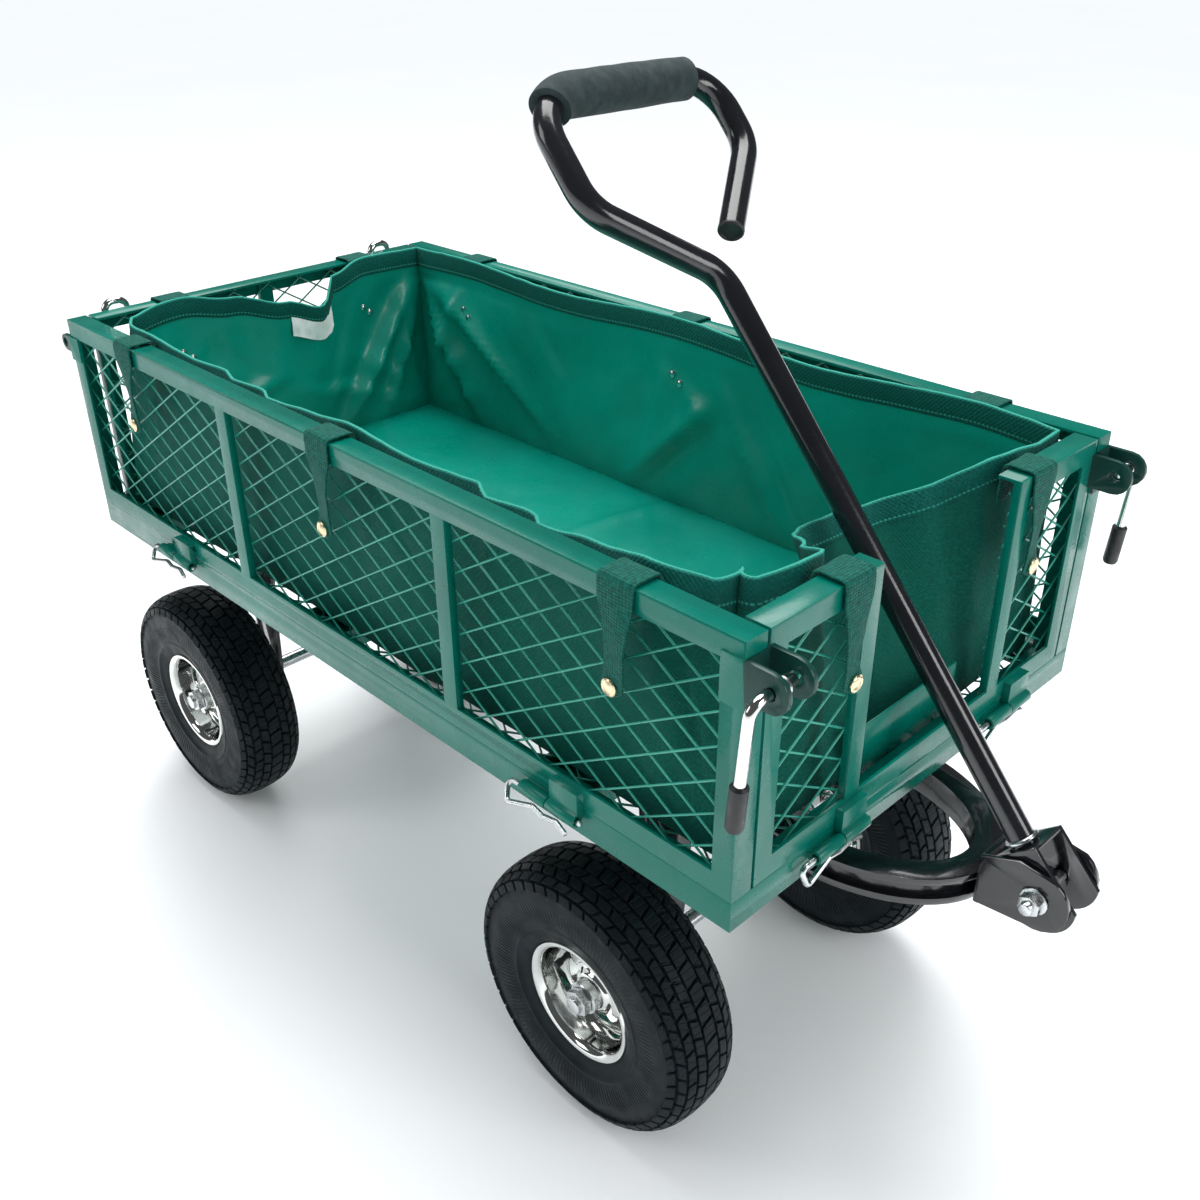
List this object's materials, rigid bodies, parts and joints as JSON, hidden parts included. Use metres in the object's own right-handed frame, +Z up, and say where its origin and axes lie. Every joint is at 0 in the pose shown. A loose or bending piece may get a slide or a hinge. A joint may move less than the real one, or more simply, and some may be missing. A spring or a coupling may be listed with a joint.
{
  "type": "garden cart",
  "caption": "Four-wheeled garden cart with a steel tray, fold-down mesh sides, hung fabric liner, steered drawbar and a looped pull handle",
  "frame": {"origin": "middle of the base of the bounding box, on the ground", "axes": "+X forward, towards the handle's hitch; +Y the cart's left; +Z up"},
  "size_m": [1.118, 0.506, 0.8554],
  "materials": {
    "green_powder_coat": "satin",
    "black_enamel": "gloss",
    "zinc_steel": "bright zinc",
    "latch_chrome": "bright",
    "rim_chrome": "bright",
    "tyre_rubber": "matte",
    "grip_foam": "matte",
    "end_cap_plastic": "matte",
    "liner_fabric": "coated",
    "strap_webbing": "woven"
  },
  "bodies": {
    "cart": {"tray_frame": "green_powder_coat", "floor_mesh": "green_powder_coat", "handle_rest_plate": "green_powder_coat", "rear_axle_bracket": "black_enamel", "rear_axle": "zinc_steel", "king_plate": "black_enamel", "kingpin": "zinc_steel", "liner": "liner_fabric"},
    "steering": {"steering_bolster": "black_enamel", "front_axle": "zinc_steel", "drawbar_ring": "black_enamel", "hitch_bracket": "black_enamel", "hitch_bolt": "zinc_steel"},
    "handle": {"handle_yoke": "black_enamel", "handle_tube": "black_enamel", "foam_grip": "grip_foam", "handle_end_cap": "end_cap_plastic"},
    "wheel_front_right": {"tyre_front_right": "tyre_rubber", "rim_front_right": "rim_chrome", "hub_front_right": "zinc_steel"},
    "wheel_front_left": {"tyre_front_left": "tyre_rubber", "rim_front_left": "rim_chrome", "hub_front_left": "zinc_steel"},
    "wheel_rear_right": {"tyre_rear_right": "tyre_rubber", "rim_rear_right": "rim_chrome", "hub_rear_right": "zinc_steel"},
    "wheel_rear_left": {"tyre_rear_left": "tyre_rubber", "rim_rear_left": "rim_chrome", "hub_rear_left": "zinc_steel"},
    "right_panel": {"right_panel_frame": "green_powder_coat", "right_panel_mesh": "green_powder_coat", "strap_right_rear": "strap_webbing", "strap_right_middle": "strap_webbing", "strap_right_front": "strap_webbing"},
    "left_panel": {"left_panel_frame": "green_powder_coat", "left_panel_mesh": "green_powder_coat", "strap_left_rear": "strap_webbing", "strap_left_middle": "strap_webbing", "strap_left_front": "strap_webbing"},
    "rear_panel": {"rear_panel_frame": "green_powder_coat", "rear_panel_mesh": "green_powder_coat", "strap_rear_right": "strap_webbing", "strap_rear_left": "strap_webbing"},
    "front_gate": {"front_gate_frame": "green_powder_coat", "front_gate_mesh_right": "green_powder_coat", "front_gate_mesh_left": "green_powder_coat", "strap_front_right": "strap_webbing", "strap_front_left": "strap_webbing"},
    "latch_front_right": {"latch_pin_front_right": "latch_chrome"},
    "latch_front_left": {"latch_pin_front_left": "latch_chrome"},
    "latch_rear_right": {"latch_pin_rear_right": "latch_chrome"},
    "latch_rear_left": {"latch_pin_rear_left": "latch_chrome"},
    "hinge_pin_body_right_rear": {"hinge_pin_right_rear": "zinc_steel"},
    "hinge_pin_body_right_front": {"hinge_pin_right_front": "zinc_steel"},
    "hinge_pin_body_left_rear": {"hinge_pin_left_rear": "zinc_steel"},
    "hinge_pin_body_left_front": {"hinge_pin_left_front": "zinc_steel"},
    "hinge_pin_body_front_right": {"hinge_pin_front_right": "zinc_steel"},
    "hinge_pin_body_front_left": {"hinge_pin_front_left": "zinc_steel"},
    "hinge_pin_body_rear_right": {"hinge_pin_rear_right": "zinc_steel"},
    "hinge_pin_body_rear_left": {"hinge_pin_rear_left": "zinc_steel"}
  },
  "joints": [
    {"name": "steering_turn", "type": "hinge", "parent": "cart", "child": "steering", "pos_m": [0.23, 0, 0.345], "axis": [0, 0, 1], "range_deg": [-20, 20]},
    {"name": "handle_pitch", "type": "hinge", "parent": "steering", "child": "handle", "pos_m": [0.53, 0, 0.331], "axis": [0, 1, 0], "range_deg": [0, 150]},
    {"name": "wheel_spin_front_right", "type": "hinge", "parent": "steering", "child": "wheel_front_right", "pos_m": [0.23, -0.1675, 0.13], "axis": [0, 1, 0], "continuous": true},
    {"name": "wheel_spin_front_left", "type": "hinge", "parent": "steering", "child": "wheel_front_left", "pos_m": [0.23, 0.1675, 0.13], "axis": [0, 1, 0], "continuous": true},
    {"name": "wheel_spin_rear_right", "type": "hinge", "parent": "cart", "child": "wheel_rear_right", "pos_m": [-0.429, -0.1675, 0.13], "axis": [0, 1, 0], "continuous": true},
    {"name": "wheel_spin_rear_left", "type": "hinge", "parent": "cart", "child": "wheel_rear_left", "pos_m": [-0.429, 0.1675, 0.13], "axis": [0, 1, 0], "continuous": true},
    {"name": "right_panel_fold", "type": "hinge", "parent": "cart", "child": "right_panel", "pos_m": [-0.036, -0.235, 0.378], "axis": [1, 0, 0], "range_deg": [0, 120]},
    {"name": "left_panel_fold", "type": "hinge", "parent": "cart", "child": "left_panel", "pos_m": [-0.036, 0.235, 0.378], "axis": [-1, 0, 0], "range_deg": [0, 120]},
    {"name": "rear_panel_fold", "type": "hinge", "parent": "cart", "child": "rear_panel", "pos_m": [-0.493, 0, 0.378], "axis": [0, -1, 0], "range_deg": [0, 120]},
    {"name": "front_gate_fold", "type": "hinge", "parent": "cart", "child": "front_gate", "pos_m": [0.421, 0, 0.378], "axis": [0, 1, 0], "range_deg": [0, 90]},
    {"name": "latch_slide_front_right", "type": "slide", "parent": "right_panel", "child": "latch_front_right", "axis": [0, -1, 0], "range_m": [-0.008, 0.003]},
    {"name": "latch_slide_front_left", "type": "slide", "parent": "left_panel", "child": "latch_front_left", "axis": [0, 1, 0], "range_m": [-0.008, 0.003]},
    {"name": "latch_slide_rear_right", "type": "slide", "parent": "rear_panel", "child": "latch_rear_right", "axis": [0, 1, 0], "range_m": [-0.008, 0.003]},
    {"name": "latch_slide_rear_left", "type": "slide", "parent": "rear_panel", "child": "latch_rear_left", "axis": [0, -1, 0], "range_m": [-0.008, 0.003]},
    {"name": "pull_hinge_pin_right_rear", "type": "slide", "parent": "cart", "child": "hinge_pin_body_right_rear", "axis": [-1, 0, 0], "range_m": [0, 0.066]},
    {"name": "pull_hinge_pin_right_front", "type": "slide", "parent": "cart", "child": "hinge_pin_body_right_front", "axis": [-1, 0, 0], "range_m": [0, 0.066]},
    {"name": "pull_hinge_pin_left_rear", "type": "slide", "parent": "cart", "child": "hinge_pin_body_left_rear", "axis": [-1, 0, 0], "range_m": [0, 0.066]},
    {"name": "pull_hinge_pin_left_front", "type": "slide", "parent": "cart", "child": "hinge_pin_body_left_front", "axis": [-1, 0, 0], "range_m": [0, 0.066]},
    {"name": "pull_hinge_pin_front_right", "type": "slide", "parent": "cart", "child": "hinge_pin_body_front_right", "axis": [0, -1, 0], "range_m": [0, 0.066]},
    {"name": "pull_hinge_pin_front_left", "type": "slide", "parent": "cart", "child": "hinge_pin_body_front_left", "axis": [0, -1, 0], "range_m": [0, 0.066]},
    {"name": "pull_hinge_pin_rear_right", "type": "slide", "parent": "cart", "child": "hinge_pin_body_rear_right", "axis": [0, -1, 0], "range_m": [0, 0.066]},
    {"name": "pull_hinge_pin_rear_left", "type": "slide", "parent": "cart", "child": "hinge_pin_body_rear_left", "axis": [0, -1, 0], "range_m": [0, 0.066]}
  ]
}
